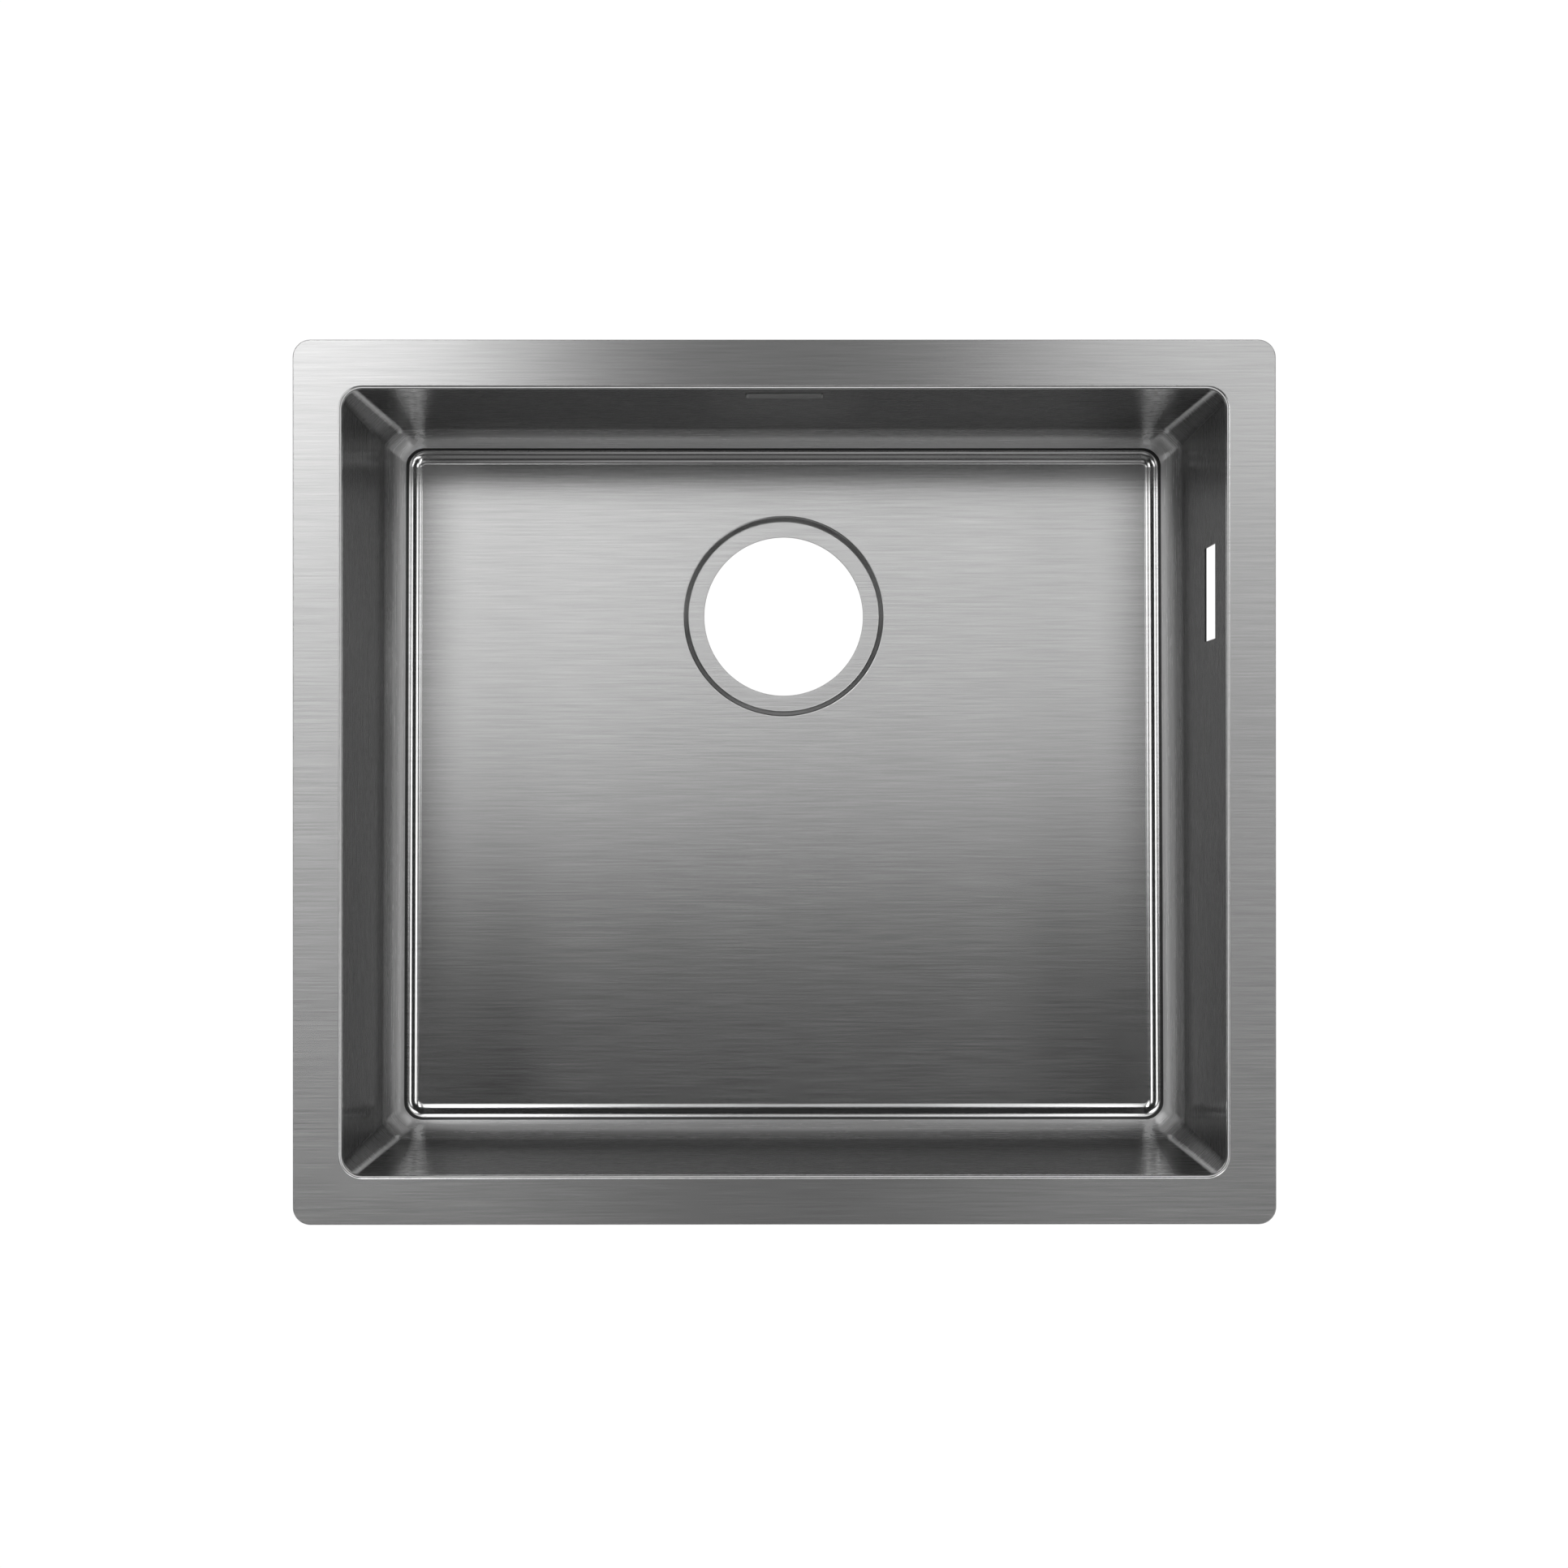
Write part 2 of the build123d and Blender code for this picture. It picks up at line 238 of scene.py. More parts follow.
def brushedSteel(name, look):
    # metal with grain along U of the piece's own map, or along object X where it has no map
    material, tree, shader = newMaterial(name, look)
    shader.inputs["Anisotropic"].default_value = look["anisotropy"]
    if look["map"]:
        place = addNode(tree, "ShaderNodeUVMap", uv_map=look["map"]).outputs["UV"]
        tangent = addNode(tree, "ShaderNodeTangent", direction_type="UV_MAP", uv_map=look["map"])
        tree.links.new(tangent.outputs[0], shader.inputs["Tangent"])
        shader.inputs["Anisotropic Rotation"].default_value = look["turn"]
    else:
        place = objectPlace(tree)
    grain = addNode(tree, "ShaderNodeGroup", node_tree=brushedGrain)
    grain.inputs["Streaks"].default_value = look["streaks"]
    grain.inputs["Length"].default_value = look["length"]
    tree.links.new(place, grain.inputs["Vector"])
    swing = grain.outputs["Grain"]
    darkest, lightest = look["tone"] * (1 - look["toneSwing"]), look["tone"] * (1 + look["toneSwing"])
    tone = rampIn(tree, swing, -0.5, 0.5, darkest, lightest)
    # the wall's dim edge tint darkens its glancing reflection, painted shade
    if "edge" in look:
        shader.inputs["Specular Tint"].default_value = (look["edge"], look["edge"], look["edge"], 1)
    # painted light and shade on the wall: highlights in fans beside the corners, at the foot and lower down, and a
    # dark line on each corner's flat, added to the tone, with less metal where they are bright
    if "fan" in look:
        paintedShading = addNode(tree, "ShaderNodeGroup", node_tree=cornerFinish)
        tree.links.new(objectPlace(tree), paintedShading.inputs["Vector"])
        tone = mathIn(tree, "MULTIPLY", tone, mathIn(tree, "SUBTRACT", 1.0, paintedShading.outputs["Dark"]))
        for output, share in (("Bright", look["fan"]), ("Rise", look["rise"]), ("Low", look["low"])):
            tone = mathIn(tree, "ADD", tone, mathIn(tree, "MULTIPLY", paintedShading.outputs[output], share))
        dullFoot = mathIn(tree, "MULTIPLY", paintedShading.outputs["Rise"], footLightPaint["dull"])
        dull = mathIn(tree, "MAXIMUM", paintedShading.outputs["Bright"], dullFoot)
        metal = mathIn(tree, "MULTIPLY", mathIn(tree, "SUBTRACT", 1.0, dull), look["metal"])
        tree.links.new(metal, shader.inputs["Metallic"])
    tree.links.new(tone, shader.inputs["Base Color"])
    smoothest, roughest = look["roughness"] - look["roughSwing"], look["roughness"] + look["roughSwing"]
    tree.links.new(rampIn(tree, swing, -0.5, 0.5, smoothest, roughest), shader.inputs["Roughness"])
    addBump(tree, shader, swing, look["bump"], look["relief"] * mm)
    return material


def speckled(name, look):
    # two colours mixed by the blotches, with roughness from the grains and bump from both scales
    material, tree, shader = newMaterial(name, look)
    grain = addNode(tree, "ShaderNodeGroup", node_tree=speckle)
    grain.inputs["Blotches"].default_value = look["blotches"]
    grain.inputs["Grains"].default_value = look["grains"]
    tree.links.new(objectPlace(tree), grain.inputs["Vector"])
    tint = addNode(tree, "ShaderNodeMix", data_type="RGBA")
    for socket in tint.inputs:
        if socket.type == "RGBA":
            colour = look["dark"] if socket.name == "A" else look["light"]
            socket.default_value = (*colour, 1)
    tree.links.new(rampIn(tree, grain.outputs["Blotch"], -0.25, 0.25), tint.inputs[0])
    tree.links.new([o for o in tint.outputs if o.type == "RGBA"][0], shader.inputs["Base Color"])
    smoothest, roughest = look["roughness"] - look["roughSwing"], look["roughness"] + look["roughSwing"]
    tree.links.new(rampIn(tree, grain.outputs["Grain"], -0.3, 0.3, smoothest, roughest), shader.inputs["Roughness"])
    both = mathIn(tree, "ADD", grain.outputs["Grain"], grain.outputs["Blotch"])
    addBump(tree, shader, both, look["bump"], look["relief"] * mm)
    return material


# how each part of the bowl spreads light: turn 0.25 spreads it across the grain, 0 along it; the tones are lit and
# shaded copies of one steel: the bend and the step lighter as painted highlight on top of their real reflections, the
# wall darker with a dim edge tint as painted shade plus its painted highlights in the corner fans, at the foot and
# lower down, and the painted shade zone near black
bowlLooks = {
    "flange": {"roughness": 0.20, "anisotropy": 0.97, "turn": 0.25, "tone": 0.63},
    "bend": {"roughness": 0.20, "anisotropy": 0.0, "turn": 0.0, "tone": 0.98},
    "wall": {"roughness": 0.27, "anisotropy": 0.92, "turn": 0.25, "tone": 0.36, "toneSwing": 0.16, "metal": 0.85,
             "edge": 0.27, "fan": 0.8, "rise": 0.55, "low": 0.14},
    "crease": {"roughness": 0.30, "anisotropy": 0.0, "turn": 0.0, "tone": 0.1},
    "step": {"roughness": 0.14, "anisotropy": 0.0, "turn": 0.0, "tone": 0.95},
    "floor": {"roughness": 0.20, "anisotropy": 0.78, "turn": 0.0, "tone": 0.70},
    "outside": {"roughness": 0.30, "anisotropy": 0.80, "turn": 0.25, "tone": 0.55},
}
bowlGrain = {"map": "grain", "metal": 1.0, "toneSwing": 0.26, "roughSwing": 0.02, "streaks": 1150.0, "length": 22.0,
             "bump": 0.02, "relief": 0.2}
bowlSteels = [brushedSteel("bowlSteel_" + part, {**bowlGrain, **look}) for part, look in bowlLooks.items()]
badgeSteel = brushedSteel("badgeSteel", {
    "map": "", "metal": 1.0, "tone": 0.3, "toneSwing": 0.1, "roughness": 0.3, "roughSwing": 0.05, "anisotropy": 0.0,
    "streaks": 2600.0, "length": 60.0, "bump": 0.05, "relief": 0.2,
})
studSteel = brushedSteel("studSteel", {
    "map": "", "metal": 1.0, "tone": 0.55, "toneSwing": 0.1, "roughness": 0.28, "roughSwing": 0.06, "anisotropy": 0.0,
    "streaks": 900.0, "length": 300.0, "bump": 0.05, "relief": 0.2,
})
zincPlate = speckled("zincPlate", {
    "metal": 1.0, "dark": (0.50, 0.50, 0.47), "light": (0.66, 0.66, 0.63), "roughness": 0.34, "roughSwing": 0.09,
    "blotches": 160.0, "grains": 2400.0, "bump": 0.25, "relief": 0.05,
})
castZinc = speckled("castZinc", {
    "metal": 1.0, "dark": (0.46, 0.46, 0.44), "light": (0.62, 0.62, 0.58), "roughness": 0.42, "roughSwing": 0.10,
    "blotches": 260.0, "grains": 1800.0, "bump": 0.5, "relief": 0.08,
})
rubber = speckled("butylRubber", {
    "metal": 0.0, "dark": (0.026, 0.026, 0.028), "light": (0.05, 0.05, 0.053), "roughness": 0.62, "roughSwing": 0.12,
    "blotches": 60.0, "grains": 700.0, "bump": 0.6, "relief": 0.25,
})
print("materials", len(bpy.data.materials))

bowl = {
    "halfLength": 225.0, "halfWidth": 200.0, "depth": 190.0, "sheet": 1.0, "fall": 1.8,
    "flangeReach": 25.0, "flangeCorner": 9.0, "flangeEdge": 0.4,
    "rimBend": 1.8, "openingCorner": 10.0,
    "facetTop": 5.9, "facetFoot": 8.7, "facetRound": 3.0, "facetStart": 10.0,
    "footFillet": 12.2, "stepInset": 14.25, "stepRun": 3.78, "stepDrop": 1.84, "stepCorner": 8.0,
    "stepTop": 8.25, "stepFoot": 9.95, "creaseFrom": 84.0, "stepWidening": 1.0,
    "drainRadius": 45.0, "drainFromRear": 105.5, "drainEdge": 0.2,
    "seatRadius": 56.5, "seatRun": 2.5, "seatDrop": 2.5, "seatTop": 1.5, "seatFoot": 1.0,
    "overflowWidth": 50.0, "overflowHeight": 42.0, "overflowTopDrop": 45.0, "overflowFromRear": 100.0,
    "footLevel": 22.0, "underEdge": 0.15,
}
# rings down the wall, as drops below its top and as levels, and the number of rings over each bend of the profile
wallDrops = (1.2, 2.4, 3.6, 4.8, 6.0, 7.2, 8.4, 9.6, 11.0, 14.0, 20.0, 30.0)
wallLevels = (95.0, 78.0, 60.0, 45.0)
rings = {"rim": 13, "foot": 19, "stepTop": 11, "stepFoot": 13, "seat": 7, "edge": 6}
# steps round each bend and along the flat of a corner
corner = {"round": 6, "facet": 4}
cornerSteps = 2 * corner["round"] + corner["facet"]
# places along the sides: directions from the waste hole's centre, this many degrees apart
station = {"spread": 2.2, "halfX": 198.0, "halfY": 173.0, "toSide": 205.0, "toEnd": 182.0}


def arcCorner(radius):
    # quarter round: insets from the two walls, radius*(1-cos) and radius*(1-sin), at even angles
    angle = np.linspace(0, pi / 2, cornerSteps + 1)
    return np.stack([radius * (1 - np.cos(angle)), radius * (1 - np.sin(angle))], axis=1)


def facetCorner(leg, radius):
    # flat across the corner, leg long on each wall, with a small round where it meets each of them
    reach = leg + radius * tan(pi / 8)
    angle = np.linspace(0, pi / 4, corner["round"] + 1)
    first = np.stack([radius * (1 - np.cos(angle)), reach - radius * np.sin(angle)], axis=1)
    last = first[::-1, ::-1]
    t = np.linspace(0, 1, corner["facet"] + 1)[1:-1, None]
    flat = first[-1] * (1 - t) + last[0] * t
    return np.concatenate([first, flat, last])


def sideStations(half, distance, centre, extra=()):
    # places along one side whose directions from the drain's centre are evenly spread
    low, high = atan2(-half - centre, distance), atan2(half - centre, distance)
    count = int(np.ceil((high - low) / radians(station["spread"])))
    places = centre + distance * np.tan(np.linspace(low, high, count + 1))
    places[0], places[-1] = -half, half
    for value in extra:
        places[1:-1][np.argmin(np.abs(places[1:-1] - value))] = value
    return places


drainY = bowl["halfWidth"] - bowl["drainFromRear"]
overflowY = bowl["halfWidth"] - bowl["overflowFromRear"]
overflowLow = overflowY - bowl["overflowWidth"] / 2
overflowHigh = overflowY + bowl["overflowWidth"] / 2
rightStations = sideStations(station["halfY"], station["toSide"], drainY, (overflowLow, overflowHigh))
leftStations = sideStations(station["halfY"], station["toSide"], drainY)[::-1]
rearStations = sideStations(station["halfX"], station["toEnd"] - drainY, 0.0)[::-1]
frontStations = sideStations(station["halfX"], station["toEnd"] + drainY, 0.0)


def outline(halfX, halfY, insets):
    # one closed ring, anticlockwise from the right side: four sides and four corners with the given insets
    i, j = insets[:, 0], insets[:, 1]
    right = np.stack([np.full(len(rightStations), halfX), rightStations], axis=1)
    rearRight = np.stack([halfX - i, halfY - j], axis=1)
    rear = np.stack([rearStations, np.full(len(rearStations), halfY)], axis=1)
    rearLeft = np.stack([-halfX + j, halfY - i], axis=1)
    left = np.stack([np.full(len(leftStations), -halfX), leftStations], axis=1)
    frontLeft = np.stack([-halfX + i, -halfY + j], axis=1)
    front = np.stack([frontStations, np.full(len(frontStations), -halfY)], axis=1)
    frontRight = np.stack([halfX - j, -halfY + i], axis=1)
    return np.concatenate([right, rearRight, rear, rearLeft, left, frontLeft, front, frontRight])


fall = radians(bowl["fall"])
floorMiddleZ = flangeTopZ - bowl["depth"]
floorUp = np.array([0.0, sin(fall), cos(fall)])


def overFloor(ring, level):
    # lays a flat ring on the leaning floor plane, at a level above it
    x, y = ring[:, 0], ring[:, 1]
    level = np.broadcast_to(level, x.shape)
    along, up = y * cos(fall) + level * sin(fall), level * cos(fall) - y * sin(fall)
    return np.stack([x, along, floorMiddleZ + up], axis=1)


def flat(ring, z):
    # lays a flat ring at height z
    return np.concatenate([ring, np.full((len(ring), 1), z)], axis=1)


def bowlSkin():
    # rings from the flange's top edge in over the rim, down the wall, over ledge and step, to the waste hole
    skin, zones = [], []

    def add(ring, zone):
        skin.append(ring)
        zones.append(zone)

    hx, hy = bowl["halfLength"], bowl["halfWidth"]
    reach, edge = bowl["flangeReach"], bowl["flangeEdge"]
    out = outline(hx + reach - edge, hy + reach - edge, arcCorner(bowl["flangeCorner"] - edge))
    bend = bowl["rimBend"]
    mouth = outline(hx + bend, hy + bend, arcCorner(bowl["openingCorner"] + bend))
    add(flat(out, flangeTopZ), "flange")
    add(flat(0.5 * (out + mouth), flangeTopZ), "flange")
    for a in np.linspace(0, pi / 2, rings["rim"]):
        beyond = bend - bend * sin(a)
        ring = outline(hx + beyond, hy + beyond, arcCorner(bowl["openingCorner"] + beyond))
        add(flat(ring, flangeTopZ - bend * (1 - cos(a))), "bend")

    wallTop = flangeTopZ - bend
    overflowTop = flangeTopZ - bowl["overflowTopDrop"]
    levels = [wallTop - d for d in wallDrops]
    levels += [overflowTop, overflowTop - bowl["overflowHeight"] / 2, overflowTop - bowl["overflowHeight"]]
    levels += wallLevels

    def wallOutline(z):
        t = (wallTop - z) / (wallTop - bowl["footLevel"])
        leg = bowl["facetTop"] * (1 - t) + bowl["facetFoot"] * t
        w = smooth((wallTop - z) / bowl["facetStart"])
        insets = (1 - w) * arcCorner(bowl["openingCorner"]) + w * facetCorner(leg, bowl["facetRound"])
        return outline(hx, hy, insets)

    for z in levels:
        add(flat(wallOutline(z), z), "wall")

    # foot of the wall: the ledge plane's height under each point of the outline
    foot = wallOutline(bowl["footLevel"])
    drop = bowl["stepDrop"]
    local = (foot[:, 1] - drop * sin(fall)) / cos(fall)
    ledgeZ = floorMiddleZ - local * sin(fall) + drop * cos(fall)
    under = np.concatenate([foot, ledgeZ[:, None]], axis=1)
    fillet = bowl["footFillet"]
    start = under + np.array([0, 0, fillet])
    last = skin[-1]
    for t in (0.25, 0.5, 0.75):
        add(last * (1 - t) + start * t, "wall")

    slope = atan2(bowl["stepDrop"], bowl["stepRun"])
    topReach, footReach = bowl["stepTop"] * tan(slope / 2), bowl["stepFoot"] * tan(slope / 2)

    def stepOutline(inset):
        bends = arcCorner(bowl["stepCorner"] + bowl["stepInset"] - inset)
        return outline(hx - inset, hy + bowl["stepWidening"] - inset, bends)

    def stepRing(inset, level):
        return overFloor(stepOutline(inset), level)

    topStart = bowl["stepInset"] - topReach
    brink = stepRing(topStart, drop)
    share = fillet / topStart
    ledge = under * (1 - share) + brink * share
    # the foot's round ends in painted shade: a near-black line where it turns into the ledge
    for a in np.linspace(0, pi / 2, rings["foot"]):
        zone = "wall" if a < radians(bowl["creaseFrom"]) else "crease"
        add(under + (start - under) * (1 - sin(a)) + (ledge - under) * (1 - cos(a)), zone)

    # the step's first ring is painted shade too, closing that dark line
    for a in np.linspace(0, slope, rings["stepTop"]):
        zone = "step" if a > 0 else "crease"
        add(stepRing(topStart + bowl["stepTop"] * sin(a), drop - bowl["stepTop"] * (1 - cos(a))), zone)
    footEnd = bowl["stepInset"] + bowl["stepRun"] + footReach
    for a in np.linspace(slope, 0, rings["stepFoot"]):
        ring = stepRing(footEnd - bowl["stepFoot"] * sin(a), bowl["stepFoot"] * (1 - cos(a)))
        add(ring, "step" if a > 0 else "floor")

    # round rings of the seat: each point keeps its direction from the waste hole's centre
    direction = stepOutline(footEnd) - np.array([0, drainY])
    direction /= np.linalg.norm(direction, axis=1)[:, None]

    def seatRing(radius, level):
        return overFloor(np.array([0, drainY]) + radius * direction, level)

    seatSlope = atan2(bowl["seatDrop"], bowl["seatRun"])
    top, bottom = bowl["seatTop"], bowl["seatFoot"]
    topReach, footReach = top * tan(seatSlope / 2), bottom * tan(seatSlope / 2)
    floorRing = skin[-1]
    seatStart = seatRing(bowl["seatRadius"] + topReach, 0.0)
    for t in (0.15, 0.5, 0.85):
        add(floorRing * (1 - t) + seatStart * t, "floor")
    for a in np.linspace(0, seatSlope, rings["seat"]):
        add(seatRing(bowl["seatRadius"] + topReach - top * sin(a), -top * (1 - cos(a))), "floor")
    footEnd = bowl["seatRadius"] - bowl["seatRun"] - footReach
    for a in np.linspace(seatSlope, 0, rings["seat"]):
        add(seatRing(footEnd + bottom * sin(a), -bowl["seatDrop"] + bottom * (1 - cos(a))), "floor")
    add(seatRing(0.5 * (footEnd + bowl["drainRadius"]), -bowl["seatDrop"]), "floor")
    add(seatRing(bowl["drainRadius"] + bowl["drainEdge"], -bowl["seatDrop"]), "floor")
    return np.array(skin), zones, direction


def gridNormals(points, closeRows):
    # cross product of the central differences along the rings and across them
    around = np.roll(points, -1, axis=1) - np.roll(points, 1, axis=1)
    if closeRows:
        across = np.roll(points, -1, axis=0) - np.roll(points, 1, axis=0)
    else:
        across = np.empty_like(points)
        across[1:-1] = points[2:] - points[:-2]
        across[0] = points[1] - points[0]
        across[-1] = points[-1] - points[-2]
    normal = np.cross(across, around)
    return normal / np.linalg.norm(normal, axis=2)[..., None]


def makeBowl():
    # one closed shell: the skin's rings, the waste hole's edge, the skin moved back along its normals by the sheet's
    # thickness, and the flange's outer edge
    skin, zones, direction = bowlSkin()
    partOf = {part: index for index, part in enumerate(bowlLooks)}
    normals = gridNormals(skin, False)
    if normals[0, 0, 2] < 0:
        normals = -normals
    thick = bowl["sheet"]
    back = skin - normals * thick
    edge = bowl["drainEdge"]

    # waste hole's edge: down its wall between the two skins
    radial = overFloor(direction, 0.0) - overFloor(np.zeros((1, 2)), 0.0)
    hole = []
    for a in (pi / 6, pi / 3, pi / 2):
        hole.append(skin[-1] - radial * edge * sin(a) - floorUp * edge * (1 - cos(a)))
    for a in (0.0, pi / 6, pi / 3):
        hole.append(back[-1] - radial * edge * cos(a) + floorUp * edge * (1 - sin(a)))

    # flange's outer edge, from the underside up to the top
    hx, hy = bowl["halfLength"] + bowl["flangeReach"], bowl["halfWidth"] + bowl["flangeReach"]
    rim = bowl["flangeEdge"]
    low = flangeTopZ - thick
    under = bowl["underEdge"]
    edges = [flat(outline(hx - under, hy - under, arcCorner(bowl["flangeCorner"] - under)), low),
             flat(outline(hx, hy, arcCorner(bowl["flangeCorner"])), low + under)]
    for a in np.linspace(0, pi / 2, rings["edge"])[:-1]:
        inset = rim * (1 - cos(a))
        ring = outline(hx - inset, hy - inset, arcCorner(bowl["flangeCorner"] - inset))
        edges.append(flat(ring, flangeTopZ - rim + rim * sin(a)))
    back = back[::-1].copy()
    shell = np.concatenate([skin, np.array(hole), back, np.array(edges)])
    allZones = zones + ["floor"] * len(hole) + zones[::-1][1:] + ["flange"] * len(edges) + ["flange"]
    rows, columns = shell.shape[:2]

    quads = gridFaces(rows, columns, True, True)[:, ::-1]
    normals = gridNormals(shell, True)
    if normals[0, 0, 2] < 0:
        normals = -normals
    points = shell.reshape(-1, 3)
    normals = normals.reshape(-1, 3)

    # overflow cut-out: the wall's quads inside it go, and a band of faces joins the two skins round it
    columnIndex = np.arange(len(rightStations))
    firstColumn = int(columnIndex[np.isclose(rightStations, overflowLow)][0])
    lastColumn = int(columnIndex[np.isclose(rightStations, overflowHigh)][0])
    top = flangeTopZ - bowl["overflowTopDrop"]
    skinRows = [r for r in range(len(zones)) if top - bowl["overflowHeight"] - 0.01 < skin[r, 0, 2] < top + 0.01]
    firstRow, lastRow = skinRows[0], skinRows[-1]
    backFirst = len(skin) + len(hole)

    def mirrored(r):
        return backFirst + len(skin) - 1 - r

    row, column = quads.min(axis=1) // columns, quads.min(axis=1) % columns
    inColumns = (column >= firstColumn) & (column < lastColumn)
    inSkin = (row >= firstRow) & (row < lastRow)
    inBack = (row >= mirrored(lastRow)) & (row < mirrored(firstRow))
    wraps = (quads.max(axis=1) - quads.min(axis=1)) > 2 * columns
    keep = ~(inColumns & (inSkin | inBack)) | wraps
    quads = quads[keep]
    loopNormals = normals[quads.reshape(-1)].reshape(-1, 4, 3)

    border = [(r, firstColumn) for r in range(firstRow, lastRow)]
    border += [(lastRow, c) for c in range(firstColumn, lastColumn)]
    border += [(r, lastColumn) for r in range(lastRow, firstRow, -1)]
    border += [(firstRow, c) for c in range(lastColumn, firstColumn, -1)]
    sides, sideNormals = [], []
    middle = np.array([bowl["halfLength"] + thick / 2, overflowY, top - bowl["overflowHeight"] / 2])
    for k, (r, c) in enumerate(border):
        r2, c2 = border[(k + 1) % len(border)]
        side = [r * columns + c, r2 * columns + c2, mirrored(r2) * columns + c2, mirrored(r) * columns + c]
        a, b, d = points[side[0]], points[side[1]], points[side[3]]
        normal = np.cross(b - a, d - a)
        normal /= np.linalg.norm(normal)
        if np.dot(normal, middle - a) < 0:
            normal, side = -normal, side[::-1]
        sides.append(side)
        sideNormals.append([normal] * 4)
    allQuads = np.concatenate([quads, np.array(sides)])
    loopNormals = np.concatenate([loopNormals, np.array(sideNormals)])

    piece = newPiece("bowlShell", points, allQuads.tolist(), bowlSteels[0])
    mesh = piece.data
    for steel in bowlSteels[1:]:
        mesh.materials.append(steel)

    # grain map: the plane's own X and Y, or the way round the wall and down it
    wall = shell[len(zones) // 3]
    stride = np.linalg.norm(np.roll(wall, -1, axis=0) - wall, axis=1)
    around = np.concatenate([[0], np.cumsum(stride)])
    step = np.linalg.norm(np.diff(shell[:, 0], axis=0), axis=1)
    across = np.concatenate([[0], np.cumsum(step), [np.sum(step) + 1.0]])
    flatQuads = allQuads.reshape(-1)
    loopRow, loopColumn = flatQuads // columns, flatQuads % columns
    quadRows, quadColumns = loopRow.reshape(-1, 4), loopColumn.reshape(-1, 4)
    overColumns = np.ptp(quadColumns, axis=1) > columns // 2
    overRows = np.ptp(quadRows, axis=1) > rows // 2
    u = around[np.where(np.repeat(overColumns, 4) & (loopColumn == 0), columns, loopColumn)]
    v = across[np.where(np.repeat(overRows, 4) & (loopRow == 0), rows, loopRow)]
    faceRow = np.where(overRows, rows - 1, quadRows.min(axis=1))
    part = np.array([partOf[allZones[r]] for r in faceRow])
    isPlane = np.repeat(part != partOf["wall"], 4)
    part[(faceRow >= backFirst) & (faceRow < rows - len(edges))] = partOf["outside"]
    # the overflow's cut sides are painted shade
    part[-len(sides):] = partOf["crease"]
    mesh.polygons.foreach_set("material_index", part)
    co = points[flatQuads]
    uv = np.where(isPlane[:, None], co[:, :2], np.stack([u, v], axis=1)) * mm
    layer = mesh.uv_layers.new(name="grain")
    layer.data.foreach_set("uv", uv.astype(np.float32).ravel())
    mesh.normals_split_custom_set(loopNormals.reshape(-1, 3).tolist())
    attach(piece, "root")
    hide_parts("sink_bowl")
    print("bowl", len(points), "points", len(allQuads), "faces")


makeBowl()

# studs welded under the flange: a round base, a plain shank and an M4 thread down to a chamfered tip
stud = {
    "radius": 2.0, "length": 20.0, "baseRadius": 3.2, "baseThick": 0.8, "baseRound": 0.15, "baseUnder": 0.01,
    "pitch": 0.7, "threadDepth": 0.38, "crest": 0.12, "threadStart": 1.6, "threadRunOut": 0.9, "tipChamfer": 0.5,
    "columns": 28, "rowsPerTurn": 7, "fromSideX": 238.0, "fromSideY": 213.0, "alongX": 130.0, "alongY": 110.0,
}


def turnOutwards(mesh):
    work = bmesh.new()
    work.from_mesh(mesh)
    bmesh.ops.recalc_face_normals(work, faces=work.faces)
    work.to_mesh(mesh)
    work.free()


def makeStuds():
    # radius at depth z and angle a: the plain profile less a triangular cut whose phase is z/pitch + a/2pi
    radius, length, baseEnd, soft = stud["radius"], stud["length"], stud["baseThick"], stud["baseRound"]
    profile = np.array([
        (0.0, stud["baseRadius"]), (baseEnd - soft, stud["baseRadius"]), (baseEnd, stud["baseRadius"] - soft),
        (baseEnd + stud["baseUnder"], radius + soft), (baseEnd + soft, radius),
        (length - stud["tipChamfer"], radius), (length, radius - stud["tipChamfer"]),
    ])
    turns = (length - stud["threadStart"]) / stud["pitch"]
    threaded = np.linspace(stud["threadStart"], length, int(turns * stud["rowsPerTurn"]))
    z = np.unique(np.concatenate([profile[:, 0], threaded]))[:, None]
    a = np.linspace(0, 2 * pi, stud["columns"], endpoint=False)
    plain = np.interp(z, profile[:, 0], profile[:, 1])
    phase = (z / stud["pitch"] + a / (2 * pi)) % 1.0
    cut = np.clip((np.abs(2 * phase - 1) - stud["crest"]) / (1 - 2 * stud["crest"]), 0, 1)
    depth = stud["threadDepth"] * smooth((z - stud["threadStart"]) / stud["threadRunOut"])
    r = np.minimum(plain, np.where(z < stud["threadStart"], plain, radius - depth * cut))
    shaft = np.stack([r * np.cos(a), r * np.sin(a), np.broadcast_to(-z, r.shape)], axis=-1).reshape(-1, 3)
    faces = gridFaces(len(z), stud["columns"], False, True).tolist()
    faces.append(list(range(stud["columns"]))[::-1])
    faces.append(list(range(len(shaft) - stud["columns"], len(shaft))))
    sites = [(x * stud["alongX"], y * stud["fromSideY"]) for x in (-1, 1) for y in (-1, 1)]
    sites += [(x * stud["fromSideX"], y * stud["alongY"]) for x in (-1, 1) for y in (-1, 1)]
    underZ = flangeTopZ - bowl["sheet"]
    points = np.concatenate([shaft + np.array([x, y, underZ]) for x, y in sites])
    allFaces = [[v + k * len(shaft) for v in face] for k in range(len(sites)) for face in faces]
    piece = newPiece("threadedStuds", points, allFaces, studSteel)
    turnOutwards(piece.data)
    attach(piece, "root")
    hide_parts("clamp_studs")
    print("studs", len(points), "points", len(allFaces), "faces")


makeStuds()

